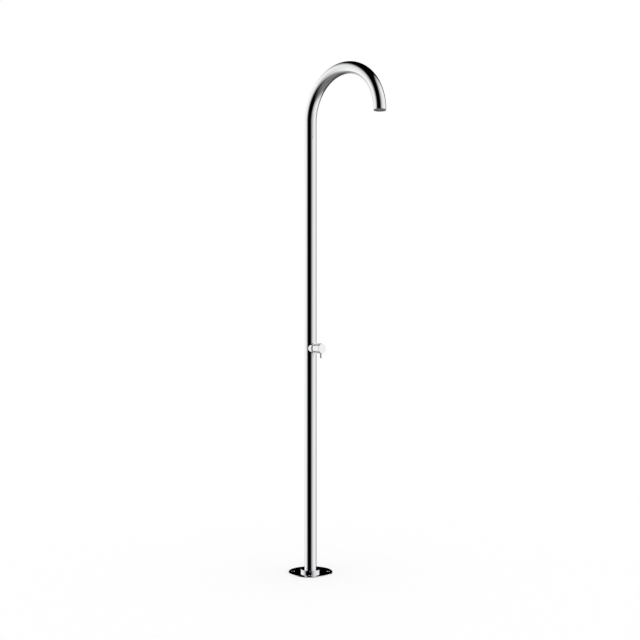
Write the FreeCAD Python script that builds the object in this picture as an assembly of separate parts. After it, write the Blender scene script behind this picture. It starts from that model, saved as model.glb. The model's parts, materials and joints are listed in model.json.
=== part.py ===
import FreeCAD, Part
import math
import os

# Free-standing shower column, millimetres, +Z up.
# The origin is on the floor at the axis of the tube. The crook and the tap point along +X.

os.makedirs("parts", exist_ok=True)

# Column tube, bent over in a half circle at the top
tube_diameter = 54.0
tube_wall = 1.5
bend_radius = 214.0
bend_height = 2052.0

# Floor flange
flange_diameter = 200.0
flange_thickness = 4.0
flange_edge_round = 0.6
bolt_edge_distance = 20.0
bolt_count = 4
bolt_start_angle = 45.0
bolt_hole_diameter = 9.0
countersink_diameter = 16.0
countersink_angle = 90.0
tube_ledge = 3.0

# Collar round the foot of the tube, with grub screws on the back
collar_wall = 17.0
collar_height = 11.5
collar_edge_round = 0.8
collar_clearance = 0.1
collar_screw_diameter = 6.0
collar_screw_length = 10.0
collar_screw_directions = (135.0, 225.0)

# Hexagon socket of a grub screw, its width and depth as a share of the screw's diameter
grub_key_share = 0.5

# Tap boss, welded on the tube
tap_height = 1023.0
boss_diameter = 50.0
boss_proud = 4.5
boss_edge_round = 0.5
weld_gap = 0.05

# Valve body inside the tube
body_height = 60.0
body_side_gap = 4.5
pad_diameter = 38.0
pad_gap = 0.05
neck_diameter = 29.0
neck_length = 14.5
neck_clearance = 0.5
seat_position = 8.0
inlet_spacing = 20.0
inlet_bore = 8.0
outlet_bore = 10.0
port_circle = 11.6
port_bore = 4.4
port_angles = (-30.0, 210.0, 90.0)

# Nuts on the neck of the valve body
thread_gap = 0.1
clamp_washer_thickness = 1.0
clamp_nut_thickness = 5.0
neck_nut_diameter = 34.0
neck_nut_notches = 6
neck_nut_notch_width = 3.0
neck_nut_notch_depth = 1.2
cartridge_nut_overlap = 7.0
cartridge_nut_lip = 2.5
cartridge_nut_hole = 18.0

# Mixing cartridge
cartridge_diameter = 24.0
cartridge_clearance = 0.1
cartridge_flange_width = 1.8
cartridge_flange_thickness = 2.0
chamber_diameter = 19.6
disc_clearance = 0.2
disc_thickness = 4.0
port_seal_thickness = 2.0
port_seal_width = 0.9
driver_thickness = 6.0
mixing_slot_depth = 2.0
mixing_slot_sweep = 150.0
film_gap = 0.05
stop_height = 1.2
stop_sweep = 40.0
stop_slack = 2.0
handle_travel = 120.0
o_ring_section = 1.2
cartridge_o_ring_setback = 12.0
o_ring_gap = 0.04
o_ring_side_slack = 0.1

# Spindle and handle
spindle_diameter = 8.5
spindle_clearance = 0.05
spindle_socket = 3.0
spindle_engagement = 14.0
spindle_o_ring_setback = 10.0
knob_gap = 0.5
knob_length = 44.4
knob_back_diameter = 42.8
knob_rim_diameter = 45.6
knob_rim_setback = 4.0
knob_face_diameter = 44.8
knob_edge_round = 0.6
knob_wall = 2.2
knob_nut_gap = 1.5
lever_setback = 8.7
lever_diameter = 9.5
lever_reach = 43.5
lever_tip_round = 1.2
lever_tenon_diameter = 6.0
lever_tenon_length = 11.0
lever_seat_depth = 2.0
tenon_clearance = 0.05
knob_screw_setback = 18.2
knob_screw_diameter = 4.0
knob_screw_length = 8.0

# Hoses inside the tube
supply_hose_diameter = 12.0
riser_hose_diameter = 15.0
hose_wall = 2.0
barb_gap = 0.05
barb_length = 18.0
barb_bore_wall = 1.2
ferrule_wall = 1.0
ferrule_length = 16.0
tail_thread_length = 8.0
tail_hex_height = 6.0
supply_tail_hex = 12.0
riser_tail_hex = 17.0
supply_nut_hex = 19.0
supply_nut_height = 14.0
supply_nut_bore = 16.6
supply_nut_web = 4.0
supply_nut_lift = 22.0
supply_nipple_stem = 10.0
supply_nipple_collar = 2.0
supply_washer_thickness = 2.0
supply_hose_gap = 1.0

# Spray outlet in the end of the crook
spray_plate_thickness = 4.0
spray_plate_edge_round = 0.5
spray_thread_height = 6.0
spray_thread_wall = 2.0
spray_thread_gap = 0.2
spray_housing_gap = 1.1
spray_housing_wall = 2.0
spray_housing_height = 18.0
spray_web = 3.0
strainer_ledge = 1.5
outlet_socket_height = 5.0
outlet_socket_wall = 2.5
outlet_thread_diameter = 16.0
outlet_collar_hex = 19.0
outlet_collar_height = 4.0
outlet_knee_rise = 2.5
strainer_thickness = 1.3
strainer_hole_diameter = 1.6
strainer_hole_circle = 4.8
strainer_hole_count = 6
outlet_o_ring_section = 2.0
outlet_o_ring_height = 6.5
outlet_o_ring_squeeze_gap = 0.2
nozzle_mat_thickness = 2.5
nozzle_mat_gap = 0.2
nozzle_ring_counts = (1, 6, 12, 18)
nozzle_ring_radii = (0.0, 6.4, 12.4, 17.6)
nozzle_root_diameter = 3.4
nozzle_tip_diameter = 2.2
nozzle_proud = 1.2
nozzle_bore = 1.1
nozzle_gap = 0.05
outlet_screw_diameter = 4.0
outlet_screw_height = 12.0
outlet_screw_bite = 1.6

# Worked out from the sizes above
tube_radius = tube_diameter / 2
tube_inner_radius = tube_radius - tube_wall
collar_radius = tube_radius + collar_wall
bolt_circle = flange_diameter - 2 * bolt_edge_distance
boss_front = tube_radius + boss_proud
neck_radius = neck_diameter / 2
neck_hole_radius = neck_radius + neck_clearance
neck_end = boss_front + neck_length
cartridge_radius = cartridge_diameter / 2
cartridge_front = neck_end + cartridge_flange_thickness
cartridge_nut_front = cartridge_front + cartridge_nut_lip
fixed_disc_back = seat_position + port_seal_thickness
moving_disc_back = fixed_disc_back + disc_thickness + film_gap
driver_back = moving_disc_back + disc_thickness
driver_front = driver_back + driver_thickness
chamber_radius = chamber_diameter / 2
disc_radius = chamber_radius - disc_clearance
spindle_radius = spindle_diameter / 2
knob_back = boss_front + knob_gap
knob_front = knob_back + knob_length
knob_cavity_end = cartridge_nut_front + knob_nut_gap
spindle_end = knob_cavity_end + spindle_engagement
body_radius = tube_inner_radius - body_side_gap
body_bottom = tap_height - body_height / 2
body_top = tap_height + body_height / 2
inlet_offset = inlet_spacing / 2
outlet_x = 2 * bend_radius
spray_face = bend_height - spray_plate_thickness
housing_radius = tube_inner_radius - spray_housing_gap
housing_top = bend_height + spray_housing_height
supply_hose_bottom = supply_nut_lift + supply_nut_height + supply_hose_gap
supply_hose_top = body_bottom - tail_hex_height
supply_bore_radius = supply_hose_diameter / 2 - hose_wall
supply_barb_radius = supply_bore_radius - barb_gap
riser_bore_radius = riser_hose_diameter / 2 - hose_wall
riser_barb_radius = riser_bore_radius - barb_gap
spray_thread_radius = housing_radius - spray_housing_wall
spray_web_low = housing_top - spray_web
outlet_socket_top = housing_top + outlet_socket_height
outlet_collar_top = outlet_socket_top + outlet_collar_height

# The riser leaves the crook's line before the outlet and runs straight to a knee above the spray housing
riser_foot = body_top + tail_hex_height
knee_height = outlet_collar_top + outlet_knee_rise
knee_to_crook = knee_height - bend_height
riser_sweep = 180 - 2 * math.degrees(math.atan(knee_to_crook / bend_radius))
riser_tail_run = barb_length + barb_gap

x_axis = FreeCAD.Vector(1, 0, 0)
y_axis = FreeCAD.Vector(0, 1, 0)
z_axis = FreeCAD.Vector(0, 0, 1)


def point(x, y, z):
    return FreeCAD.Vector(x, y, z)


def upright(radius, low, high, x=0.0, y=0.0):
    return Part.makeCylinder(radius, high - low, point(x, y, low), z_axis)


def upright_ring(inner, outer, low, high, x=0.0, y=0.0):
    return upright(outer, low, high, x, y).cut(upright(inner, low, high, x, y))


def along_tap(radius, start, end, y=0.0, z=0.0):
    return Part.makeCylinder(radius, end - start, point(start, y, tap_height + z), x_axis)


def rims(shape, keep):
    """Full-circle edges of a shape whose boxes pass the test keep."""
    return [edge for edge in shape.Edges if len(edge.Vertexes) == 1 and keep(edge.BoundBox)]


def tap_ring(inner, outer, start, end, y=0.0, z=0.0):
    return along_tap(outer, start, end, y, z).cut(along_tap(inner, start, end, y, z))


def revolve_tap(wire):
    """Turn a closed outline, drawn in the XZ plane, once round the tap axis."""
    return Part.Face(wire).revolve(point(0, 0, tap_height), x_axis, 360)


def hexagon(across_flats, low, high, x=0.0, y=0.0):
    """Upright hexagonal prism with two flats square to Y."""
    corner = across_flats / math.sqrt(3)
    corners = []
    for step in range(7):
        turn = math.radians(60 * step)
        corners.append(point(x + corner * math.cos(turn), y + corner * math.sin(turn), low))
    return Part.Face(Part.makePolygon(corners)).extrude(point(0, 0, high - low))


def circle_wire(radius, centre, normal):
    return Part.Wire(Part.makeCircle(radius, centre, normal))


def rounded_disc(radius, low, high, edge_round):
    """Upright disc with its top edge rounded."""
    disc = upright(radius, low, high)
    middle = (low + high) / 2
    return disc.makeFillet(edge_round, rims(disc, lambda box: box.ZMin > middle))


def grub_screw(diameter, length, tip, way):
    """Headless screw from its tip outwards, with a hexagon socket in its outer end."""
    key = diameter * grub_key_share
    screw = Part.makeCylinder(diameter / 2, length)
    screw = screw.cut(hexagon(key, length - key, length))
    screw.Placement = FreeCAD.Placement(tip, FreeCAD.Rotation(z_axis, way))
    return screw


def turned(outline, x=0.0):
    """Turn a closed outline of radius and height pairs once round an upright axis at x."""
    corners = [point(x + radius, 0, height) for radius, height in outline]
    face = Part.Face(Part.makePolygon(corners + corners[:1]))
    return face.revolve(point(x, 0, 0), z_axis, 360)


def bent_rod(radius, foot, top, sweep, tail):
    """Round rod up the tube axis, round the crook by sweep degrees, then straight on by tail."""
    turn = math.radians(sweep)
    halfway = turn / 2

    def on_crook(angle):
        return point(bend_radius * (1 - math.cos(angle)), 0, top + bend_radius * math.sin(angle))

    start = point(0, 0, foot)
    end = on_crook(turn)
    edges = [
        Part.LineSegment(start, on_crook(0)).toShape(),
        Part.Arc(on_crook(0), on_crook(halfway), end).toShape(),
    ]
    if tail > 0:
        onward = point(math.sin(turn), 0, math.cos(turn)) * tail
        edges.append(Part.LineSegment(end, end + onward).toShape())
    return Part.Wire(edges).makePipeShell([circle_wire(radius, start, z_axis)], True, False)


def bolt_places():
    for step in range(bolt_count):
        turn = math.radians(bolt_start_angle + 360 * step / bolt_count)
        yield bolt_circle / 2 * math.cos(turn), bolt_circle / 2 * math.sin(turn)


def port_places():
    for angle in port_angles:
        turn = math.radians(angle)
        yield port_circle / 2 * math.cos(turn), port_circle / 2 * math.sin(turn)


def nozzle_places():
    for count, ring_radius in zip(nozzle_ring_counts, nozzle_ring_radii):
        for step in range(count):
            turn = 2 * math.pi * (step + 0.5) / count
            yield outlet_x + ring_radius * math.cos(turn), ring_radius * math.sin(turn)


def make_column_tube():
    outer = bent_rod(tube_radius, flange_thickness, bend_height, 180, 0)
    inner = bent_rod(tube_inner_radius, flange_thickness, bend_height, 180, 0)
    tube = outer.cut(inner)
    tube = tube.cut(along_tap(neck_hole_radius, 0, tube_diameter))
    return tube.cut(outlet_screw_hole(outlet_screw_diameter / 2 + thread_gap))


def make_floor_flange():
    plate = rounded_disc(flange_diameter / 2, 0, flange_thickness, flange_edge_round)
    plate = plate.cut(upright(tube_radius - tube_ledge, 0, flange_thickness))
    hole_radius = bolt_hole_diameter / 2
    sink_radius = countersink_diameter / 2
    sink_depth = (sink_radius - hole_radius) / math.tan(math.radians(countersink_angle / 2))
    for x, y in bolt_places():
        plate = plate.cut(upright(hole_radius, 0, flange_thickness, x, y))
        foot = point(x, y, flange_thickness - sink_depth)
        plate = plate.cut(Part.makeCone(hole_radius, sink_radius, sink_depth, foot, z_axis))
    return plate


def collar_screw_ways():
    for direction in collar_screw_directions:
        turn = math.radians(direction)
        yield point(math.cos(turn), math.sin(turn), 0)


collar_screw_middle = z_axis * (flange_thickness + collar_height / 2)


def make_base_collar():
    low = flange_thickness
    collar = rounded_disc(collar_radius, low, low + collar_height, collar_edge_round)
    collar = collar.cut(upright(tube_radius + collar_clearance, low, low + collar_height))
    hole_radius = collar_screw_diameter / 2 + thread_gap
    for way in collar_screw_ways():
        collar = collar.cut(Part.makeCylinder(hole_radius, 2 * collar_radius, collar_screw_middle, way))
    return collar


def make_collar_grub_screws():
    screws = []
    for way in collar_screw_ways():
        tip = collar_screw_middle + way * (tube_radius + weld_gap)
        screws.append(grub_screw(collar_screw_diameter, collar_screw_length, tip, way))
    return Part.makeCompound(screws)


def make_tap_boss():
    boss = along_tap(boss_diameter / 2, 0, boss_front)
    boss = boss.makeFillet(boss_edge_round, rims(boss, lambda box: box.XMin > boss_front / 2))
    boss = boss.cut(along_tap(neck_hole_radius, 0, boss_front))
    span = boss_diameter
    return boss.cut(upright(tube_radius + weld_gap, tap_height - span, tap_height + span))


def make_valve_body():
    body = upright(body_radius, body_bottom, body_top)
    pad = along_tap(pad_diameter / 2, 0, tube_radius)
    pad = pad.common(upright(tube_inner_radius - pad_gap, body_bottom, body_top))
    body = body.fuse(pad)
    body = body.fuse(along_tap(neck_radius, 0, neck_end))
    body = body.cut(along_tap(cartridge_radius + cartridge_clearance, seat_position, neck_end))
    for y, z in port_places():
        body = body.cut(along_tap(port_bore / 2, -inlet_bore / 2, seat_position, y, z))
    thread_radius = inlet_bore / 2 + barb_bore_wall
    for side in (-1, 1):
        y = side * inlet_offset
        body = body.cut(upright(inlet_bore / 2, body_bottom, tap_height, 0, y))
        body = body.cut(upright(thread_radius, body_bottom, body_bottom + tail_thread_length, 0, y))
    body = body.cut(upright(outlet_bore / 2, tap_height + port_bore / 2, body_top))
    return body.cut(upright(outlet_bore / 2 + barb_bore_wall, body_top - tail_thread_length, body_top))


def notched_nut(inner, start, end):
    """Ring nut for a pin spanner, notched round its edge."""
    outer = neck_nut_diameter / 2
    nut = tap_ring(inner, outer, start, end)
    for step in range(neck_nut_notches):
        corner = point(start, -neck_nut_notch_width / 2, tap_height + outer - neck_nut_notch_depth)
        notch = Part.makeBox(end - start, neck_nut_notch_width, neck_nut_diameter, corner)
        notch.rotate(point(0, 0, tap_height), x_axis, 360 * step / neck_nut_notches)
        nut = nut.cut(notch)
    return nut


def make_clamp_washer():
    front = boss_front + clamp_washer_thickness
    return tap_ring(neck_hole_radius, neck_nut_diameter / 2, boss_front, front)


def make_clamp_nut():
    start = boss_front + clamp_washer_thickness
    return notched_nut(neck_radius + thread_gap, start, start + clamp_nut_thickness)


def make_cartridge_nut():
    nut = notched_nut(cartridge_nut_hole / 2, neck_end - cartridge_nut_overlap, cartridge_nut_front)
    return nut.cut(along_tap(neck_radius + thread_gap, neck_end - cartridge_nut_overlap, cartridge_front))


def sector(radius, start, end, first, sweep):
    """Wedge of a cylinder on the tap axis, from the angle first, measured from -Z towards +Y."""
    wedge = Part.makeCylinder(radius, end - start, point(0, 0, 0), z_axis, sweep)
    wedge.rotate(point(0, 0, 0), y_axis, 90)
    wedge.rotate(point(0, 0, 0), x_axis, first)
    wedge.translate(point(start, 0, tap_height))
    return wedge


def make_cartridge_housing():
    housing = along_tap(cartridge_radius, seat_position, neck_end)
    flange = along_tap(cartridge_radius + cartridge_flange_width, neck_end, cartridge_front)
    housing = housing.fuse(flange)
    chamber_end = driver_front + film_gap
    housing = housing.cut(along_tap(chamber_radius, seat_position, chamber_end))
    housing = housing.cut(along_tap(spindle_radius + spindle_clearance, seat_position, cartridge_front))
    stop_room = sector(
        chamber_radius + stop_height + disc_clearance,
        driver_back - film_gap,
        chamber_end,
        -stop_sweep / 2 - stop_slack,
        handle_travel + stop_sweep + 2 * stop_slack,
    )
    housing = housing.cut(stop_room)
    return housing.cut(o_ring_groove(cartridge_radius + cartridge_clearance, cartridge_o_ring_setback))


def o_ring_groove(bore_radius, setback):
    """What is cut from a shaft on the tap axis to seat an O-ring, setback behind the neck's front."""
    middle = neck_end - setback
    half = o_ring_section / 2 + o_ring_side_slack
    inner = bore_radius - o_ring_section
    return tap_ring(inner, bore_radius + o_ring_section, middle - half, middle + half)


def tap_o_ring(bore_radius, setback):
    """O-ring round the tap axis, just inside the bore that it seals."""
    section_radius = o_ring_section / 2 - o_ring_gap
    centre = point(neck_end - setback, 0, tap_height)
    return Part.makeTorus(bore_radius - o_ring_gap - section_radius, section_radius, centre, x_axis)


def make_cartridge_o_ring():
    return tap_o_ring(cartridge_radius + cartridge_clearance, cartridge_o_ring_setback)


def make_port_seals():
    rings = []
    for y, z in port_places():
        inner = port_bore / 2
        rings.append(tap_ring(inner, inner + port_seal_width, seat_position, fixed_disc_back, y, z))
    return Part.makeCompound(rings)


def make_fixed_disc():
    disc = along_tap(disc_radius, fixed_disc_back, fixed_disc_back + disc_thickness)
    for y, z in port_places():
        disc = disc.cut(along_tap(port_bore / 2, fixed_disc_back, fixed_disc_back + disc_thickness, y, z))
    return disc


def make_moving_disc():
    disc = along_tap(disc_radius, moving_disc_back, driver_back)
    slot_end = moving_disc_back + mixing_slot_depth
    outer = (port_circle + port_bore) / 2
    inner = (port_circle - port_bore) / 2
    slot = sector(outer, moving_disc_back, slot_end, 0, mixing_slot_sweep)
    return disc.cut(slot.cut(along_tap(inner, moving_disc_back, slot_end)))


def make_disc_driver():
    driver = along_tap(disc_radius, driver_back, driver_front)
    stop = sector(chamber_radius + stop_height, driver_back, driver_front, -stop_sweep / 2, stop_sweep)
    driver = driver.fuse(stop).removeSplitter()
    socket = along_tap(spindle_radius + spindle_clearance, driver_front - spindle_socket, driver_front)
    return driver.cut(socket)


def make_spindle():
    spindle = along_tap(spindle_radius, driver_front - spindle_socket, spindle_end)
    return spindle.cut(o_ring_groove(spindle_radius + spindle_clearance, spindle_o_ring_setback))


def make_spindle_o_ring():
    return tap_o_ring(spindle_radius + spindle_clearance, spindle_o_ring_setback)


def make_knob():
    """Round handle: flared from the back to a rim, then drawn in a little to a flat face."""
    back = knob_back_diameter / 2
    rim = knob_rim_diameter / 2
    face = knob_face_diameter / 2
    outline = [
        (knob_back, 0),
        (knob_back, back),
        (knob_front - knob_rim_setback, rim),
        (knob_front, face),
        (knob_front, 0),
        (knob_back, 0),
    ]
    knob = revolve_tap(Part.makePolygon([point(along, 0, tap_height + radius) for along, radius in outline]))
    front_edge = rims(knob, lambda box: box.XMin > knob_front - knob_edge_round)
    knob = knob.makeFillet(knob_edge_round, front_edge)
    knob = knob.cut(along_tap(back - knob_wall, knob_back, knob_cavity_end))
    bore_end = spindle_end + spindle_clearance
    knob = knob.cut(along_tap(spindle_radius + spindle_clearance, knob_back, bore_end))
    knob = knob.cut(lever_shape(tenon_clearance))
    screw_x = knob_front - knob_screw_setback
    screw_hole = upright(knob_screw_diameter / 2 + thread_gap, tap_height - rim, tap_height, screw_x)
    return knob.cut(screw_hole)


def lever_shape(clearance):
    """Pin lever hanging from the knob: a round pin on a thinner tenon."""
    x = knob_front - lever_setback
    seat = tap_height - knob_rim_diameter / 2 + lever_seat_depth
    tip = tap_height - lever_reach
    tenon_top = seat + lever_tenon_length + clearance
    pin = upright(lever_diameter / 2 + clearance, tip, seat + clearance, x)
    return pin.fuse(upright(lever_tenon_diameter / 2 + clearance, seat, tenon_top, x))


def make_lever_pin():
    pin = lever_shape(0.0)
    tip_top = tap_height - lever_reach + lever_tip_round
    return pin.makeFillet(lever_tip_round, rims(pin, lambda box: box.ZMax < tip_top))


def make_knob_grub_screw():
    tip = point(knob_front - knob_screw_setback, 0, tap_height - spindle_radius - spindle_clearance)
    return grub_screw(knob_screw_diameter, knob_screw_length, tip, z_axis * -1)


def make_supply_hose(side):
    outer = supply_hose_diameter / 2
    y = side * inlet_offset
    return upright_ring(supply_bore_radius, outer, supply_hose_bottom, supply_hose_top, 0, y)


def make_supply_tails():
    tails = []
    for side in (-1, 1):
        y = side * inlet_offset
        thread = inlet_bore / 2 + barb_bore_wall - thread_gap
        tail = upright(supply_barb_radius, supply_hose_top - barb_length, supply_hose_top, 0, y)
        tail = tail.fuse(hexagon(supply_tail_hex, supply_hose_top, body_bottom, 0, y))
        tail = tail.fuse(upright(thread, body_bottom, body_bottom + tail_thread_length, 0, y))
        low = supply_hose_top - barb_length
        high = body_bottom + tail_thread_length
        tails.append(tail.cut(upright(supply_barb_radius - barb_bore_wall, low, high, 0, y)))
    return Part.makeCompound(tails)


def make_supply_ferrules():
    inner = supply_hose_diameter / 2 + barb_gap
    outer = inner + ferrule_wall
    ferrules = []
    for side in (-1, 1):
        y = side * inlet_offset
        for low in (supply_hose_bottom, supply_hose_top - ferrule_length):
            ferrules.append(upright_ring(inner, outer, low, low + ferrule_length, 0, y))
    return Part.makeCompound(ferrules)


def make_supply_nipples():
    web_low = supply_nut_lift + supply_nut_height - supply_nut_web
    nipples = []
    for side in (-1, 1):
        y = side * inlet_offset
        collar_radius = supply_nut_bore / 2 - thread_gap
        nipple = upright(collar_radius, web_low - supply_nipple_collar, web_low, 0, y)
        nipple = nipple.fuse(upright(supply_nipple_stem / 2, web_low, supply_hose_bottom, 0, y))
        top = supply_hose_bottom + barb_length
        nipple = nipple.fuse(upright(supply_barb_radius, supply_hose_bottom, top, 0, y))
        bore = upright(supply_barb_radius - barb_bore_wall, web_low - supply_nipple_collar, top, 0, y)
        nipples.append(nipple.cut(bore))
    return Part.makeCompound(nipples)


def make_supply_nuts():
    low = supply_nut_lift
    high = low + supply_nut_height
    nuts = []
    for side in (-1, 1):
        y = side * inlet_offset
        nut = hexagon(supply_nut_hex, low, high, 0, y)
        nut = nut.cut(upright(supply_nut_bore / 2, low, high - supply_nut_web, 0, y))
        nuts.append(nut.cut(upright(supply_nipple_stem / 2 + barb_gap, low, high, 0, y)))
    return Part.makeCompound(nuts)


def make_supply_washers():
    high = supply_nut_lift + supply_nut_height - supply_nut_web - supply_nipple_collar
    low = high - supply_washer_thickness
    outer = supply_nut_bore / 2 - thread_gap
    washers = []
    for side in (-1, 1):
        washers.append(upright_ring(supply_barb_radius, outer, low, high, 0, side * inlet_offset))
    return Part.makeCompound(washers)


riser_way = point(math.sin(math.radians(riser_sweep)), 0, math.cos(math.radians(riser_sweep)))
knee = point(outlet_x, 0, knee_height)


def make_riser_hose():
    outer = bent_rod(riser_hose_diameter / 2, riser_foot, bend_height, riser_sweep, riser_tail_run)
    return outer.cut(bent_rod(riser_bore_radius, riser_foot, bend_height, riser_sweep, riser_tail_run))


def riser_end():
    return knee - riser_way * (knee_to_crook - riser_tail_run)


def make_riser_tail():
    barb_top = riser_foot + barb_length
    thread_low = body_top - tail_thread_length
    tail = upright(riser_barb_radius, riser_foot, barb_top)
    tail = tail.fuse(hexagon(riser_tail_hex, body_top, riser_foot))
    thread = outlet_bore / 2 + barb_bore_wall - thread_gap
    tail = tail.fuse(upright(thread, thread_low, body_top))
    return tail.cut(upright(riser_barb_radius - barb_bore_wall, thread_low, barb_top))


def make_riser_ferrules():
    inner = riser_hose_diameter / 2 + barb_gap
    outer = inner + ferrule_wall
    foot = upright_ring(inner, outer, riser_foot, riser_foot + ferrule_length)
    end = riser_end()
    top = Part.makeCylinder(outer, ferrule_length, end, riser_way * -1)
    top = top.cut(Part.makeCylinder(inner, ferrule_length, end, riser_way * -1))
    return Part.makeCompound([foot, top])


def make_outlet_tail():
    """Angled hose tail: a barb on the hose's line, a hexagon, and a threaded stub into the housing."""
    barb = riser_barb_radius
    top = riser_end() - riser_way * barb_length
    barb_run = (knee - top).Length
    low = spray_web_low + strainer_thickness
    stub_radius = outlet_thread_diameter / 2 - thread_gap
    tail = Part.makeCylinder(barb, barb_run, top, riser_way)
    tail = tail.fuse(Part.makeSphere(barb, knee))
    tail = tail.fuse(hexagon(outlet_collar_hex, outlet_socket_top, outlet_collar_top, outlet_x))
    tail = tail.fuse(upright(stub_radius, low, outlet_socket_top, outlet_x))
    tail = tail.fuse(upright(barb, outlet_collar_top, knee_height, outlet_x))
    water = barb - barb_bore_wall
    tail = tail.cut(Part.makeCylinder(water, barb_run, top, riser_way))
    tail = tail.cut(Part.makeSphere(water, knee))
    return tail.cut(upright(water, low, knee_height, outlet_x)).removeSplitter()


def outlet_screw_hole(radius):
    start = point(outlet_x, 0, bend_height + outlet_screw_height)
    return Part.makeCylinder(radius, tube_diameter, start, x_axis * -1)


def make_outlet_grub_screw():
    height = bend_height + outlet_screw_height
    inner = housing_radius - outlet_screw_bite
    shift = bend_radius - tube_radius
    outer_x = bend_radius + math.sqrt(shift ** 2 - outlet_screw_height ** 2)
    tip = point(outlet_x - inner, 0, height)
    length = outlet_x - inner - outer_x - tenon_clearance
    return grub_screw(outlet_screw_diameter, length, tip, x_axis * -1)


def make_spray_housing():
    """Cup in the tube's end, with a threaded socket on top and a ledge for the strainer."""
    thread = outlet_thread_diameter / 2
    socket = thread + outlet_socket_wall
    water = riser_barb_radius - barb_bore_wall
    ledge_low = spray_web_low - strainer_ledge
    housing = turned([
        (housing_radius, bend_height),
        (housing_radius, housing_top),
        (socket, housing_top),
        (socket, outlet_socket_top),
        (thread, outlet_socket_top),
        (thread, spray_web_low),
        (water, spray_web_low),
        (water, ledge_low),
        (socket, ledge_low),
        (socket, spray_web_low),
        (spray_thread_radius, spray_web_low),
        (spray_thread_radius, bend_height),
    ], outlet_x)
    groove_middle = bend_height + outlet_o_ring_height
    half = outlet_o_ring_section / 2 + o_ring_side_slack
    groove_inner = tube_inner_radius - outlet_o_ring_squeeze_gap - outlet_o_ring_section - o_ring_gap
    groove = upright_ring(groove_inner, tube_radius, groove_middle - half, groove_middle + half, outlet_x)
    housing = housing.cut(groove)
    return housing.cut(outlet_screw_hole(outlet_screw_diameter / 2 + thread_gap))


def make_outlet_o_ring():
    section_radius = outlet_o_ring_section / 2
    middle_radius = tube_inner_radius - outlet_o_ring_squeeze_gap - section_radius
    centre = point(outlet_x, 0, bend_height + outlet_o_ring_height)
    return Part.makeTorus(middle_radius, section_radius, centre, z_axis)


def make_strainer():
    low = spray_web_low
    high = low + strainer_thickness
    hole_radius = strainer_hole_diameter / 2
    disc = upright(outlet_thread_diameter / 2 - thread_gap, low, high, outlet_x)
    disc = disc.cut(upright(hole_radius, low, high, outlet_x))
    for step in range(strainer_hole_count):
        turn = 2 * math.pi * step / strainer_hole_count
        x = outlet_x + strainer_hole_circle / 2 * math.cos(turn)
        y = strainer_hole_circle / 2 * math.sin(turn)
        disc = disc.cut(upright(hole_radius, low, high, x, y))
    return disc


def make_spray_plate():
    plate = upright(tube_radius, spray_face, bend_height, outlet_x)
    middle = (spray_face + bend_height) / 2
    plate = plate.makeFillet(spray_plate_edge_round, rims(plate, lambda box: box.ZMax < middle))
    thread_outer = spray_thread_radius - spray_thread_gap
    thread_inner = thread_outer - spray_thread_wall
    thread_top = bend_height + spray_thread_height
    plate = plate.fuse(upright_ring(thread_inner, thread_outer, bend_height, thread_top, outlet_x))
    hole_radius = nozzle_root_diameter / 2 + nozzle_gap
    holes = [upright(hole_radius, spray_face, bend_height, x, y) for x, y in nozzle_places()]
    return plate.cut(Part.makeCompound(holes))


def make_nozzle_mat():
    thread_inner = spray_thread_radius - spray_thread_gap - spray_thread_wall
    low = spray_face - nozzle_proud
    high = bend_height + nozzle_mat_thickness
    mat = upright(thread_inner - nozzle_mat_gap, bend_height, high, outlet_x)
    tips = []
    bores = []
    for x, y in nozzle_places():
        root = upright(nozzle_root_diameter / 2, spray_face, bend_height, x, y)
        tip = Part.makeCone(
            nozzle_tip_diameter / 2, nozzle_root_diameter / 2, nozzle_proud, point(x, y, low), z_axis
        )
        tips.append(root.fuse(tip))
        bores.append(upright(nozzle_bore / 2, low, high, x, y))
    return mat.fuse(tips).cut(Part.makeCompound(bores))


makers = {
    "floor_flange": make_floor_flange,
    "base_collar": make_base_collar,
    "collar_grub_screws": make_collar_grub_screws,
    "column_tube": make_column_tube,
    "tap_boss": make_tap_boss,
    "valve_body": make_valve_body,
    "clamp_washer": make_clamp_washer,
    "clamp_nut": make_clamp_nut,
    "cartridge_nut": make_cartridge_nut,
    "cartridge_housing": make_cartridge_housing,
    "cartridge_o_ring": make_cartridge_o_ring,
    "port_seals": make_port_seals,
    "fixed_disc": make_fixed_disc,
    "moving_disc": make_moving_disc,
    "disc_driver": make_disc_driver,
    "spindle": make_spindle,
    "spindle_o_ring": make_spindle_o_ring,
    "knob": make_knob,
    "knob_grub_screw": make_knob_grub_screw,
    "lever_pin": make_lever_pin,
    "hot_hose": lambda: make_supply_hose(-1),
    "cold_hose": lambda: make_supply_hose(1),
    "supply_tails": make_supply_tails,
    "supply_ferrules": make_supply_ferrules,
    "supply_nipples": make_supply_nipples,
    "supply_nuts": make_supply_nuts,
    "supply_washers": make_supply_washers,
    "riser_hose": make_riser_hose,
    "riser_tail": make_riser_tail,
    "riser_ferrules": make_riser_ferrules,
    "outlet_tail": make_outlet_tail,
    "strainer": make_strainer,
    "spray_housing": make_spray_housing,
    "outlet_o_ring": make_outlet_o_ring,
    "outlet_grub_screw": make_outlet_grub_screw,
    "nozzle_mat": make_nozzle_mat,
    "spray_plate": make_spray_plate,
}

for node, make in makers.items():
    shape = make()
    state = "valid" if shape.isValid() else "not valid"
    print(node, len(shape.Solids), "solids", round(shape.Volume), "mm3", state)
    shape.exportStep("parts/" + node + ".step")
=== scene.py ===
import json
import math

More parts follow.
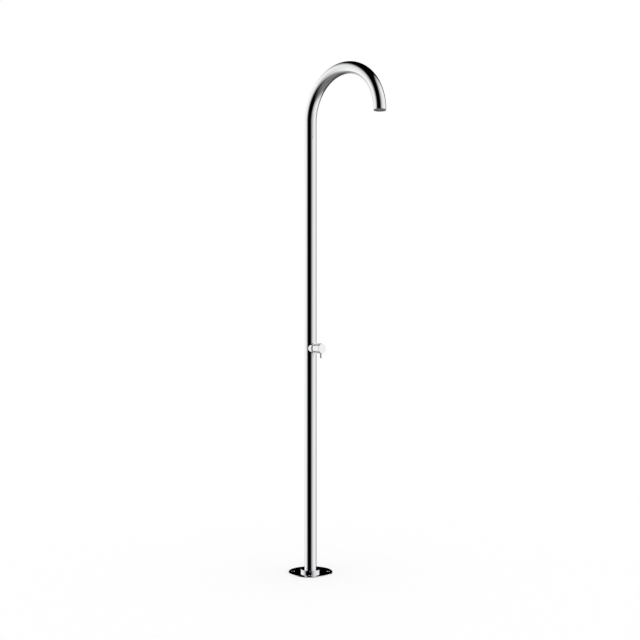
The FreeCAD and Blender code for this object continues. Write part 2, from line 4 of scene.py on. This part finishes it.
import bpy
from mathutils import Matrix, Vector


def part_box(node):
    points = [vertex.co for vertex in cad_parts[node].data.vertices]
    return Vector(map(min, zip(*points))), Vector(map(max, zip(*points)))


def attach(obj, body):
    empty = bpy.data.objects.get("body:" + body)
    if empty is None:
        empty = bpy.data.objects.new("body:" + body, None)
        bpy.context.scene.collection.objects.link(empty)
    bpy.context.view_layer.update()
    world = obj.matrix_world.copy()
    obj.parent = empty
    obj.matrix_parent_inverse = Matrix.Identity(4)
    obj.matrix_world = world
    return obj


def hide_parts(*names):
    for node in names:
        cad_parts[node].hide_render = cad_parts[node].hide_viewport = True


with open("model.json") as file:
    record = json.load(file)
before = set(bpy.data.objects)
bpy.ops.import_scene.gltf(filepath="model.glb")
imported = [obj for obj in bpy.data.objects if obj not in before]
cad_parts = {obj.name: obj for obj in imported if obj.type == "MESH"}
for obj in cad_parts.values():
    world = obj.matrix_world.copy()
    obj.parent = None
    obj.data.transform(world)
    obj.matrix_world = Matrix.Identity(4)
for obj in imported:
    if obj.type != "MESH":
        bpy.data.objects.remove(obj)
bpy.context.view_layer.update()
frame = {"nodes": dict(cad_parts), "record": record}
mm = 0.001
mergeGap = 0.001 * mm  # points nearer than this become one
sharpAngle = 32  # degrees: steeper edges stay crisp under smooth shading
print("frame loaded:", len(frame["nodes"]), "nodes")


# Places taken from the frame, and what follows from them, in millimetres

def corners(node):
    low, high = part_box(node)
    return low / mm, high / mm


def middle(node):
    low, high = corners(node)
    return (low + high) / 2


tubeFoot = corners("column_tube")[0].z
collarTop = corners("base_collar")[1].z
tapHeight = middle("tap_boss").z
bossFront = corners("tap_boss")[1].x
knobBack = corners("knob")[0].x
knobFront = corners("knob")[1].x
leverX = middle("lever_pin").x
leverTip = corners("lever_pin")[0].z
leverTop = corners("lever_pin")[1].z
knobScrewX = middle("knob_grub_screw").x
spindleEnd = corners("spindle")[1].x
outletX = middle("spray_plate").x
sprayFace = corners("spray_plate")[0].z
outletScrewHeight = middle("outlet_grub_screw").z
plateThickness = 4.0  # of the spray plate, which lies below the tube's end
bendRadius = outletX / 2
bendHeight = sprayFace + plateThickness


# Small helpers for modelling by operators

def deselectAll():
    if bpy.context.object and bpy.context.object.mode != "OBJECT":
        bpy.ops.object.mode_set(mode="OBJECT")
    bpy.ops.object.select_all(action="DESELECT")


def activate(piece):
    deselectAll()
    piece.select_set(True)
    bpy.context.view_layer.objects.active = piece


def useModifier(piece, kind, **settings):
    activate(piece)
    modifier = piece.modifiers.new(kind, kind)
    for key, value in settings.items():
        setattr(modifier, key, value)
    bpy.ops.object.modifier_apply(modifier=modifier.name)


def arcRings(centre, radius, start, end, steps):
    # Rounded stretch of an outline: its centre is given as along and out, its angles in degrees
    rings = []
    for step in range(steps + 1):
        turn = math.radians(start + (end - start) * step / steps)
        rings.append((centre[0] + radius * math.sin(turn), centre[1] + radius * math.cos(turn)))
    return rings


def lathe(name, rings, sides):
    # Rings are (along, radius) pairs in mm, drawn out one by one from a circle
    deselectAll()
    along, radius = rings[0]
    bpy.ops.mesh.primitive_circle_add(vertices=sides, radius=radius * mm, location=(0, 0, 0))
    piece = bpy.context.object
    piece.name = name
    bpy.ops.object.mode_set(mode="EDIT")
    bpy.ops.mesh.select_all(action="SELECT")
    bpy.ops.transform.translate(value=(0, 0, along * mm))
    for nextAlong, nextRadius in rings[1:]:
        grow = nextRadius / radius
        bpy.ops.mesh.extrude_edges_move(TRANSFORM_OT_translate={"value": (0, 0, (nextAlong - along) * mm)})
        bpy.ops.transform.resize(value=(grow, grow, 1), center_override=(0, 0, nextAlong * mm))
        along, radius = nextAlong, nextRadius
    closeMesh()
    bpy.ops.object.mode_set(mode="OBJECT")
    return piece


def rod(name, diameter, start, end, sides):
    return lathe(name, [(start, diameter / 2), (end, diameter / 2)], sides)


def mergePoints():
    bpy.ops.mesh.select_all(action="SELECT")
    bpy.ops.mesh.remove_doubles(threshold=mergeGap)


def closeMesh():
    mergePoints()
    bpy.ops.mesh.select_all(action="DESELECT")
    bpy.ops.mesh.select_non_manifold(use_wire=False, use_multi_face=False, use_non_contiguous=False,
                                     use_verts=False)
    bpy.ops.mesh.fill_holes(sides=0)  # 0 fills openings of any size
    bpy.ops.mesh.select_all(action="SELECT")
    bpy.ops.mesh.normals_make_consistent(inside=False)


def place(piece, spot, turn=(0.0, 0.0, 0.0)):
    activate(piece)
    piece.rotation_euler = [math.radians(angle) for angle in turn]
    piece.location = [value * mm for value in spot]
    bpy.ops.object.transform_apply(location=True, rotation=True, scale=True)
    return piece


def cutAway(piece, *cutters):
    for cutter in cutters:
        useModifier(piece, "BOOLEAN", object=cutter, operation="DIFFERENCE", solver="EXACT")
        bpy.data.objects.remove(cutter, do_unlink=True)


def cutCopies(piece, cutter, spots):
    # One cutter, copied to each spot, and the copies joined for a single cut
    copies = []
    for spot in spots:
        activate(cutter)
        bpy.ops.object.duplicate()
        copies.append(place(bpy.context.object, spot))
    bpy.data.objects.remove(cutter, do_unlink=True)
    deselectAll()
    for copy in copies:
        copy.select_set(True)
    bpy.context.view_layer.objects.active = copies[0]
    bpy.ops.object.join()
    cutAway(piece, copies[0])


def seat(piece, body, slot, *nodes):
    activate(piece)
    bpy.ops.object.shade_smooth_by_angle(angle=math.radians(sharpAngle))
    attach(piece, body)
    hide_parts(*nodes)
    piece.data.materials.clear()
    piece.data.materials.append(finishes[slot])
    print("made", piece.name, "with", len(piece.data.polygons), "faces")


# Colours and nodes

def hexColor(text):
    channels = [int(text[index:index + 2], 16) / 255 for index in (0, 2, 4)]
    linear = [c / 12.92 if c <= 0.04045 else ((c + 0.055) / 1.055) ** 2.4 for c in channels]
    return (*linear, 1.0)


def addNode(tree, kind, inputs=None, **settings):
    node = tree.nodes.new(kind)
    for key, value in settings.items():
        setattr(node, key, value)
    for socket, value in (inputs or {}).items():
        if isinstance(value, bpy.types.NodeSocket):
            tree.links.new(value, node.inputs[socket])
        else:
            node.inputs[socket].default_value = value
    return node


def newFinish(name, **constants):
    material = bpy.data.materials.new(name)
    material.use_nodes = True
    tree = material.node_tree
    shader = tree.nodes["Principled BSDF"]
    for socket, value in constants.items():
        shader.inputs[socket].default_value = value
    spot = addNode(tree, "ShaderNodeTexCoord").outputs["Object"]
    return material, tree, shader, spot


def shadeBetween(tree, shader, pattern, colors, roughness):
    # One pattern drives the colour between two hex values and the roughness between two numbers
    color = addNode(tree, "ShaderNodeMixRGB", {
        "Fac": pattern, "Color1": hexColor(colors[0]), "Color2": hexColor(colors[1])})
    rough = addNode(tree, "ShaderNodeMapRange", {
        "Value": pattern, "To Min": roughness[0], "To Max": roughness[1]})
    tree.links.new(color.outputs["Color"], shader.inputs["Base Color"])
    tree.links.new(rough.outputs["Result"], shader.inputs["Roughness"])


def polishedStainless():
    # Mirror-polished stainless tube and bar: clear reflections, with a little haze left by the mop
    look = {"steel": ("F7F7F8", "F3F4F5"), "roughness": (0.015, 0.05), "hazeMm": 45.0, "detail": 3.0}
    material, tree, shader, spot = newFinish("polished stainless steel", Metallic=1.0)
    haze = addNode(tree, "ShaderNodeTexNoise", {
        "Vector": spot, "Scale": 1 / (look["hazeMm"] * mm), "Detail": look["detail"]})
    shadeBetween(tree, shader, haze.outputs["Fac"], look["steel"], look["roughness"])
    return material


def satinStainless():
    # Plate turned on a lathe and blasted: dull and nearly matt, with faint rings round the outlet's axis.
    # The real marks are a tenth of a millimetre apart, drawn coarser here so that they show.
    look = {"steel": ("C4C5C7", "F2F3F4"), "roughness": (0.95, 0.82), "ringMm": 1.0, "waver": 0.6,
            "waverDetail": 1.0, "depthMm": 0.02, "relief": 0.6}
    ringPeriod = math.pi / 10  # distance between rings in the wave pattern at a scale of 1
    material, tree, shader, spot = newFinish("satin stainless steel", Metallic=1.0)
    centred = addNode(tree, "ShaderNodeMapping", {"Vector": spot, "Location": (-outletX * mm, 0, 0)})
    rings = addNode(tree, "ShaderNodeTexWave", {
        "Vector": centred.outputs["Vector"], "Scale": ringPeriod / (look["ringMm"] * mm),
        "Distortion": look["waver"], "Detail": look["waverDetail"]}, wave_type="RINGS", rings_direction="Z")
    shadeBetween(tree, shader, rings.outputs["Fac"], look["steel"], look["roughness"])
    marks = addNode(tree, "ShaderNodeBump", {
        "Height": rings.outputs["Fac"], "Strength": look["relief"], "Distance": look["depthMm"] * mm})
    tree.links.new(marks.outputs["Normal"], shader.inputs["Normal"])
    return material


grain = {"detail": 4.0, "relief": 0.5}


def grainFinish(name, look, **constants):
    # A material with an even grain: colour, roughness and a slight relief follow one noise of a real size
    material, tree, shader, spot = newFinish(name, **constants)
    noise = addNode(tree, "ShaderNodeTexNoise", {
        "Vector": spot, "Scale": 1 / (look["grainMm"] * mm), "Detail": grain["detail"]})
    shadeBetween(tree, shader, noise.outputs["Fac"], look["color"], look["roughness"])
    relief = addNode(tree, "ShaderNodeBump", {
        "Height": noise.outputs["Fac"], "Strength": grain["relief"], "Distance": look["reliefMm"] * mm})
    tree.links.new(relief.outputs["Normal"], shader.inputs["Normal"])
    return material


def braidedHose():
    # Stainless wire braided over the hose: two sets of bright strands that cross, with painted shade in the
    # gaps
    look = {"wire": ("34363A", "C9CBCE"), "roughness": (0.55, 0.26), "strands": 12, "layMm": 56.0,
            "depthMm": 0.25, "relief": 0.8}
    material, tree, shader, spot = newFinish("braided stainless hose", Metallic=1.0)
    axes = addNode(tree, "ShaderNodeSeparateXYZ", {"Vector": spot}).outputs
    hoseAside = abs(middle("hot_hose").y) * mm
    strandClimb = 2 * math.pi * look["strands"] / (look["layMm"] * mm)  # a strand goes once round in a lay
    beside = addNode(tree, "ShaderNodeMath", {0: axes["Y"]}, operation="ABSOLUTE").outputs[0]
    across = addNode(tree, "ShaderNodeMath", {0: beside, 1: hoseAside}, operation="SUBTRACT").outputs[0]
    turn = addNode(tree, "ShaderNodeMath", {0: across, 1: axes["X"]}, operation="ARCTAN2").outputs[0]
    wound = addNode(tree, "ShaderNodeMath", {0: turn, 1: look["strands"]}, operation="MULTIPLY").outputs[0]
    climb = addNode(tree, "ShaderNodeMath", {0: axes["Z"], 1: strandClimb}, operation="MULTIPLY").outputs[0]
    waves = []
    for way in ("ADD", "SUBTRACT"):
        phase = addNode(tree, "ShaderNodeMath", {0: wound, 1: climb}, operation=way).outputs[0]
        waves.append(addNode(tree, "ShaderNodeMath", {0: phase}, operation="SINE").outputs[0])
    weave = addNode(tree, "ShaderNodeMath", {0: waves[0], 1: waves[1]}, operation="MULTIPLY").outputs[0]
    strand = addNode(tree, "ShaderNodeMath", {0: weave}, operation="ABSOLUTE").outputs[0]
    # The weave puts the bright wire colour on the strands and a dark colour, painted shade, in the gaps
    # between them
    shadeBetween(tree, shader, strand, look["wire"], look["roughness"])
    relief = addNode(tree, "ShaderNodeBump", {
        "Height": strand, "Strength": look["relief"], "Distance": look["depthMm"] * mm})
    tree.links.new(relief.outputs["Normal"], shader.inputs["Normal"])
    return material


screwLook = {"color": ("B4B6B9", "C8CACC"), "roughness": (0.22, 0.38), "grainMm": 0.5, "reliefMm": 0.01}
brassLook = {"color": ("B08A46", "CBA45B"), "roughness": (0.24, 0.42), "grainMm": 4.0, "reliefMm": 0.02}
acetalLook = {"color": ("E6E3DA", "F1EFE8"), "roughness": (0.3, 0.44), "grainMm": 0.6, "reliefMm": 0.01}
aluminaLook = {"color": ("EDE9DF", "F6F4EE"), "roughness": (0.08, 0.2), "grainMm": 0.4, "reliefMm": 0.002}
nitrileLook = {"color": ("161617", "29292A"), "roughness": (0.48, 0.68), "grainMm": 0.8, "reliefMm": 0.02}
siliconeLook = {"color": ("4B4D50", "5D5F62"), "roughness": (0.42, 0.6), "grainMm": 0.7, "reliefMm": 0.01}
riserLook = {"color": ("D2CEC3", "E4E1D8"), "roughness": (0.32, 0.46), "grainMm": 5.0, "reliefMm": 0.05}

finishes = {
    "polished_stainless": polishedStainless(),
    "satin_stainless": satinStainless(),
    "screw_steel": grainFinish("bead-blasted stainless steel", screwLook, Metallic=1.0),  # dull, grainy
    "brass": grainFinish("machined brass", brassLook, Metallic=1.0),  # warm, uneven where it has tarnished
    "acetal": grainFinish("moulded acetal", acetalLook, IOR=1.48),  # waxy white with a fine moulded skin
    "alumina": grainFinish("lapped alumina ceramic", aluminaLook, IOR=1.76),  # ivory white, nearly glossy
    "nitrile_rubber": grainFinish("moulded nitrile rubber", nitrileLook, IOR=1.52),  # soft black
    "silicone": grainFinish("moulded silicone rubber", siliconeLook, IOR=1.41),  # matt grey nozzles
    "braided_hose": braidedHose(),
    "riser_plastic": grainFinish("extruded polyethylene hose", riserLook, IOR=1.51),  # milky, cloudy
}
print("finishes ready:", len(finishes))


# Column tube: a circle drawn up the post, then spun over into the crook

columnTube = {"diameter": 54.0, "wall": 1.5, "sides": 160, "bendSteps": 160,
              "tapHole": 30.0, "tapBand": 20.0, "tapHoleSides": 64, "screwHole": 4.2, "screwSides": 32}


def makeColumnTube():
    tube = columnTube
    outer = tube["diameter"] / 2
    levels = [tubeFoot, tapHeight - tube["tapBand"], tapHeight + tube["tapBand"], bendHeight]
    deselectAll()
    bpy.ops.mesh.primitive_circle_add(vertices=tube["sides"], radius=outer * mm, location=(0, 0, 0))
    piece = bpy.context.object
    piece.name = "columnTube"
    bpy.ops.object.mode_set(mode="EDIT")
    bpy.ops.mesh.select_all(action="SELECT")
    bpy.ops.transform.translate(value=(0, 0, tubeFoot * mm))
    for low, high in zip(levels, levels[1:]):
        bpy.ops.mesh.extrude_edges_move(TRANSFORM_OT_translate={"value": (0, 0, (high - low) * mm)})
    bpy.ops.mesh.spin(steps=tube["bendSteps"], angle=math.pi, axis=(0, -1, 0),
                      center=(bendRadius * mm, 0, bendHeight * mm))
    mergePoints()
    bpy.ops.mesh.normals_make_consistent(inside=False)
    bpy.ops.object.mode_set(mode="OBJECT")
    useModifier(piece, "SOLIDIFY", thickness=tube["wall"] * mm, offset=-1.0, use_even_offset=True)
    neck = rod("neckCutter", tube["tapHole"], 0, tube["diameter"], tube["tapHoleSides"])
    place(neck, (0, 0, tapHeight), (0, 90, 0))
    screw = rod("screwCutter", tube["screwHole"], 0, tube["diameter"], tube["screwSides"])
    place(screw, (outletX, 0, outletScrewHeight), (0, -90, 0))
    cutAway(piece, neck, screw)
    seat(piece, "column", "polished_stainless", "column_tube")


# Floor flange: turned plate with countersunk holes for the floor screws.
# A holding ring next to each rounded edge keeps the flat stretch flat under smooth shading, here and below.

floorFlange = {"diameter": 200.0, "edgeRound": 0.6, "edgeSteps": 8, "bore": 48.0, "hold": 0.3, "sides": 256,
               "holeCircle": 160.0, "holeCount": 4, "firstHole": 45.0, "hole": 9.0, "sink": 16.0,
               "cutOver": 1.0, "holeSides": 60}


def makeFloorFlange():
    plate = floorFlange
    outer = plate["diameter"] / 2
    bore = plate["bore"] / 2
    top = tubeFoot
    edge = plate["edgeRound"]
    rings = [(0, bore), (0, outer - plate["hold"]), (0, outer), (top - edge - plate["hold"], outer)]
    rings += arcRings((top - edge, outer - edge), edge, 0, 90, plate["edgeSteps"])
    rings += [(top, outer - edge - plate["hold"]), (top, bore), (0, bore)]
    piece = lathe("floorFlange", rings, plate["sides"])
    over = plate["cutOver"]
    hole = plate["hole"] / 2
    sink = plate["sink"] / 2
    # The countersink's cone leans at 45 degrees, so it is as deep as it is wider than the hole
    cutter = lathe("holeCutter", [(-over, hole), (top - (sink - hole), hole), (top + over, sink + over)],
                   plate["holeSides"])
    spots = []
    for step in range(plate["holeCount"]):
        turn = math.radians(plate["firstHole"] + 360 / plate["holeCount"] * step)
        reach = plate["holeCircle"] / 2
        spots.append((reach * math.cos(turn), reach * math.sin(turn), 0))
    cutCopies(piece, cutter, spots)
    seat(piece, "column", "polished_stainless", "floor_flange")


# Collar round the foot of the tube, held by two grub screws at the back

baseCollar = {"diameter": 88.0, "edgeRound": 0.8, "edgeSteps": 8, "bore": 54.2, "hold": 0.2, "sides": 192,
              "screwHole": 6.2, "screwTurns": (135.0, 225.0), "screwSides": 30}


def makeBaseCollar():
    ring = baseCollar
    low = tubeFoot
    top = collarTop
    outer = ring["diameter"] / 2
    bore = ring["bore"] / 2
    edge = ring["edgeRound"]
    rings = [(low, bore), (low, outer), (low + ring["hold"], outer), (top - edge - ring["hold"], outer)]
    rings += arcRings((top - edge, outer - edge), edge, 0, 90, ring["edgeSteps"])
    rings += [(top, outer - edge - ring["hold"]), (top, bore), (low, bore)]
    piece = lathe("baseCollar", rings, ring["sides"])
    for turn in ring["screwTurns"]:
        cutter = rod("screwCutter", ring["screwHole"], 0, ring["diameter"], ring["screwSides"])
        place(cutter, (0, 0, (low + top) / 2), (0, 90, turn))
        cutAway(piece, cutter)
    seat(piece, "column", "polished_stainless", "base_collar")


# Tap boss: flat-faced disc saddled on the tube

tapBoss = {"diameter": 50.0, "edgeRound": 0.5, "edgeSteps": 6, "bore": 30.0, "weldGap": 0.05, "hold": 0.2,
           "sides": 160}


def makeTapBoss():
    boss = tapBoss
    outer = boss["diameter"] / 2
    bore = boss["bore"] / 2
    front = bossFront
    edge = boss["edgeRound"]
    rings = [(0, bore), (0, outer), (front - edge - boss["hold"], outer)]
    rings += arcRings((front - edge, outer - edge), edge, 0, 90, boss["edgeSteps"])
    rings += [(front, outer - edge - boss["hold"]), (front, bore), (0, bore)]
    piece = lathe("tapBoss", rings, boss["sides"])
    place(piece, (0, 0, tapHeight), (0, 90, 0))
    saddle = rod("saddleCutter", columnTube["diameter"] + 2 * boss["weldGap"],
                 -boss["diameter"], boss["diameter"], columnTube["sides"])
    place(saddle, (0, 0, tapHeight))
    cutAway(piece, saddle)
    seat(piece, "column", "polished_stainless", "tap_boss")


# Lever: a short pin on a thinner tenon that is pressed into the knob

leverPin = {"diameter": 9.5, "tipRound": 1.2, "tipSteps": 8, "tenon": 6.0, "tenonLength": 11.0,
            "clearance": 0.05, "sides": 64}


def leverRings(clearance):
    lever = leverPin
    pin = lever["diameter"] / 2 + clearance
    tenon = lever["tenon"] / 2 + clearance
    seatHeight = leverTop - lever["tenonLength"] + clearance
    return [(leverTop + clearance, tenon), (seatHeight, tenon), (seatHeight, pin)]


def makeLeverPin():
    edge = leverPin["tipRound"]
    pin = leverPin["diameter"] / 2
    rings = leverRings(0) + arcRings((leverTip + edge, pin - edge), edge, 0, -90, leverPin["tipSteps"])
    piece = lathe("leverPin", rings, leverPin["sides"])
    place(piece, (leverX, 0, 0))
    seat(piece, "handle", "polished_stainless", "lever_pin")


# Knob: turned handle, slightly flared from the back to a rim close behind the flat face

tapKnob = {"backDiameter": 42.8, "rimDiameter": 45.6, "rimSetback": 4.0, "faceDiameter": 44.8,
           "edgeRound": 0.6, "edgeSteps": 6, "wall": 2.2, "hold": 0.3, "sides": 160,
           "spindleBore": 8.6, "spindleGrip": 14.0, "spindlePlay": 0.05, "screwHole": 4.2, "screwSides": 32}


def makeTapKnob():
    knob = tapKnob
    back = (knobBack, knob["backDiameter"] / 2)
    rim = (knobFront - knob["rimSetback"], knob["rimDiameter"] / 2)
    face = (knobFront, knob["faceDiameter"] / 2)
    cavity = knob["backDiameter"] / 2 - knob["wall"]
    cavityEnd = spindleEnd - knob["spindleGrip"]
    bore = knob["spindleBore"] / 2
    edge = knob["edgeRound"]
    hold = knob["hold"]
    flare = (rim[1] - back[1]) / (rim[0] - back[0])
    taper = (rim[1] - face[1]) / (face[0] - rim[0])
    edgeCentre = (knobFront - edge, face[1] + edge * taper - edge * math.hypot(1, taper))
    rings = [(spindleEnd + knob["spindlePlay"], bore), (cavityEnd, bore), (cavityEnd, cavity)]
    rings += [(knobBack, cavity), back]
    rings += [(rim[0] - hold, rim[1] - hold * flare), rim, (rim[0] + hold, rim[1] - hold * taper)]
    rings += arcRings(edgeCentre, edge, math.degrees(math.atan(taper)), 90, knob["edgeSteps"])
    rings += [(knobFront, edgeCentre[1] - hold)]
    piece = lathe("tapKnob", rings, knob["sides"])
    place(piece, (0, 0, tapHeight), (0, 90, 0))
    lever = leverRings(leverPin["clearance"])
    leverCutter = lathe("leverCutter", lever + [(leverTip, lever[-1][1])], leverPin["sides"])
    place(leverCutter, (leverX, 0, 0))
    screwCutter = rod("screwCutter", knob["screwHole"], -knob["rimDiameter"], 0, knob["screwSides"])
    place(screwCutter, (knobScrewX, 0, tapHeight))
    cutAway(piece, leverCutter, screwCutter)
    seat(piece, "handle", "polished_stainless", "knob")


# Spray plate: turned disc that closes the crook, with a hole for each nozzle and a threaded ring inside

sprayPlate = {"edgeRound": 0.5, "edgeSteps": 6, "hold": 0.3, "sides": 192,
              "threadInner": 40.4, "threadOuter": 44.4, "threadHeight": 6.0,
              "nozzleCounts": (1, 6, 12, 18), "nozzleRadii": (0.0, 6.4, 12.4, 17.6), "nozzleHole": 3.5,
              "cutOver": 1.0, "nozzleSides": 24}


def makeSprayPlate():
    plate = sprayPlate
    outer = columnTube["diameter"] / 2
    inside = plate["threadInner"] / 2
    outside = plate["threadOuter"] / 2
    edge = plate["edgeRound"]
    threadTop = bendHeight + plate["threadHeight"]
    rings = [(bendHeight, inside), (threadTop, inside), (threadTop, outside), (bendHeight, outside)]
    rings += [(bendHeight, outer), (sprayFace + edge + plate["hold"], outer)]
    rings += arcRings((sprayFace + edge, outer - edge), edge, 0, -90, plate["edgeSteps"])
    rings += [(sprayFace, outer - edge - plate["hold"])]
    piece = lathe("sprayPlate", rings, plate["sides"])
    place(piece, (outletX, 0, 0))
    cutter = rod("nozzleCutter", plate["nozzleHole"], sprayFace - plate["cutOver"],
                 bendHeight + plate["cutOver"], plate["nozzleSides"])
    spots = []
    for count, radius in zip(plate["nozzleCounts"], plate["nozzleRadii"]):
        for step in range(count):
            turn = 2 * math.pi * (step + 0.5) / count  # half a step off the crook's plane
            spots.append((outletX + radius * math.cos(turn), radius * math.sin(turn), 0))
    cutCopies(piece, cutter, spots)
    seat(piece, "column", "satin_stainless", "spray_plate")


print("modelling")
makeColumnTube()
makeFloorFlange()
makeBaseCollar()
makeTapBoss()
makeLeverPin()
makeTapKnob()
makeSprayPlate()

# Every CAD node gets the finish of its slot
for part in frame["record"]["subparts"]:
    node = frame["nodes"][part["node"]]
    for slot in node.material_slots:
        slot.material = finishes[part["material_slot"]]


# Camera: level and half way up, with the crook reaching toward it and to the right. Places are in metres.

viewpoint = {"lensMm": 59.0625, "sensorMm": 36.0, "distance": 4.796, "height": 1.1519, "aside": 0.04334,
             "turn": -44.4}
facing = math.radians(viewpoint["turn"])
towardCamera = (math.cos(facing), math.sin(facing), 0.0)
rightward = (-math.sin(facing), math.cos(facing), 0.0)


def makeCamera():
    lens = bpy.data.cameras.new("camera")
    lens.sensor_width = viewpoint["sensorMm"]
    lens.lens = viewpoint["lensMm"]
    camera = bpy.data.objects.new("camera", lens)
    bpy.context.scene.collection.objects.link(camera)
    camera.location = [viewpoint["distance"] * out + viewpoint["aside"] * side
                       for out, side in zip(towardCamera, rightward)]
    camera.location.z = viewpoint["height"]
    camera.rotation_euler = (math.radians(90), 0, math.radians(90) + facing)
    bpy.context.scene.camera = camera


# Floor: plain white, keeps the soft shadow under the flange

floorSheet = {"size": 40.0, "white": "FFFFFF", "roughness": 1.0, "gloss": 0.0}


def makeFloor():
    deselectAll()
    bpy.ops.mesh.primitive_plane_add(size=floorSheet["size"], location=(0, 0, 0))
    floor = bpy.context.object
    floor.name = "floor"
    material = bpy.data.materials.new("white studio floor")
    material.use_nodes = True
    shader = material.node_tree.nodes["Principled BSDF"]
    shader.inputs["Base Color"].default_value = hexColor(floorSheet["white"])
    shader.inputs["Roughness"].default_value = floorSheet["roughness"]
    shader.inputs["Specular IOR Level"].default_value = floorSheet["gloss"]
    floor.data.materials.append(material)
    floor.visible_glossy = False  # the steel mirrors the studio instead of this sheet


# Studio round the column: flat lit walls in a dark room, which give the polished steel its bands.
# Each wall faces the column from so many degrees to the right of the camera. Its edges are given as shares
# of its distance, each with the width over which it fades. A later wall covers an earlier one.

studio = [
    {"part": "low back", "facing": 174, "shade": "303030",
     "left": (-0.82, 0.8), "right": (1.0, 0.8), "low": (-1.5, 0.6), "high": (0.06, 0.4)},
    {"part": "right wall", "facing": 67, "shade": "F7F7F7",
     "left": (-0.77, 2.1), "right": (1.9, 1.4), "low": (-1.29, 1.6), "high": (2.0, 2.5)},
    {"part": "left wall", "facing": -109, "shade": "FFFFFF",
     "left": (-3.0, 3.2), "right": (0.8, 1.7), "low": (-1.09, 1.5), "high": (0.96, 1.1)},
    {"part": "dim end of left wall", "facing": -166, "shade": "404040",
     "left": (-1.4, 1.6), "right": (0.4, 1.5), "low": (-2.0, 2.0), "high": (-0.2, 0.8)},
    {"part": "flag behind", "facing": 180, "shade": "000000",
     "left": (-0.12, 0.08), "right": (0.27, 0.1), "low": (0.13, 0.04), "high": (0.6, 0.2)},
]
# The studio's floor begins this far down, where -1 is straight down, and fades in over "soft"
studioFloor = {"shade": "6E6E6E", "sides": "A8A8A8", "edge": -0.74, "soft": 0.62}


def makeWorld():
    world = bpy.data.worlds.new("studio")
    world.use_nodes = True
    bpy.context.scene.world = world
    world.cycles.sampling_method = "NONE"  # even white on matt surfaces needs no aimed light samples
    tree = world.node_tree
    way = addNode(tree, "ShaderNodeTexCoord").outputs["Generated"]
    rise = addNode(tree, "ShaderNodeSeparateXYZ", {"Vector": way}).outputs["Z"]
    least = 0.001  # what lies beside or behind a wall is left out
    shade = 0.0
    for wall in studio:
        front = math.cos(math.radians(wall["facing"]))
        side = math.sin(math.radians(wall["facing"]))
        facingWall = [front * near + side * right for near, right in zip(towardCamera, rightward)]
        alongWall = [front * right - side * near for near, right in zip(towardCamera, rightward)]
        ahead = addNode(tree, "ShaderNodeVectorMath", {0: way, 1: facingWall},
                        operation="DOT_PRODUCT").outputs["Value"]
        aside = addNode(tree, "ShaderNodeVectorMath", {0: way, 1: alongWall},
                        operation="DOT_PRODUCT").outputs["Value"]
        distance = addNode(tree, "ShaderNodeMath", {0: ahead, 1: least}, operation="MAXIMUM").outputs[0]
        across = addNode(tree, "ShaderNodeMath", {0: aside, 1: distance}, operation="DIVIDE").outputs[0]
        up = addNode(tree, "ShaderNodeMath", {0: rise, 1: distance}, operation="DIVIDE").outputs[0]
        cover = addNode(tree, "ShaderNodeMath", {0: ahead, 1: least}, operation="GREATER_THAN").outputs[0]
        # The wall begins at its left and low edges, with no cover before them, and ends at the other two
        edges = (("left", across, 0), ("right", across, 1), ("low", up, 0), ("high", up, 1))
        for name, source, before in edges:
            edge, soft = wall[name]
            fade = addNode(tree, "ShaderNodeMapRange", {
                "Value": source, "From Min": edge - soft / 2, "From Max": edge + soft / 2,
                "To Min": before, "To Max": 1 - before}, interpolation_type="SMOOTHSTEP").outputs["Result"]
            cover = addNode(tree, "ShaderNodeMath", {0: cover, 1: fade}, operation="MULTIPLY").outputs[0]
        shade = addNode(tree, "ShaderNodeMapRange", {
            "Value": cover, "To Min": shade, "To Max": hexColor(wall["shade"])[0]}).outputs["Result"]
    # The studio floor is lighter under the walls at the sides
    aside = addNode(tree, "ShaderNodeVectorMath", {0: way, 1: rightward},
                    operation="DOT_PRODUCT").outputs["Value"]
    beside = addNode(tree, "ShaderNodeMath", {0: aside}, operation="ABSOLUTE").outputs[0]
    ground = addNode(tree, "ShaderNodeMapRange", {
        "Value": beside, "To Min": hexColor(studioFloor["shade"])[0],
        "To Max": hexColor(studioFloor["sides"])[0]}).outputs["Result"]
    edge, soft = studioFloor["edge"], studioFloor["soft"]
    shade = addNode(tree, "ShaderNodeMapRange", {
        "Value": rise, "From Min": edge - soft / 2, "From Max": edge + soft / 2,
        "To Min": ground, "To Max": shade}, interpolation_type="SMOOTHSTEP").outputs["Result"]
    # Only mirrored rays see the walls: the camera and matt surfaces see plain white
    mirrored = addNode(tree, "ShaderNodeLightPath").outputs["Is Glossy Ray"]
    seen = addNode(tree, "ShaderNodeMapRange", {
        "Value": mirrored, "To Min": 1.0, "To Max": shade}).outputs["Result"]
    background = tree.nodes["Background"]
    tree.links.new(seen, background.inputs["Color"])
    background.inputs["Strength"].default_value = 1.0


makeCamera()
makeFloor()
makeWorld()
bpy.context.scene.view_settings.view_transform = "Standard"
print("camera, floor and studio ready")
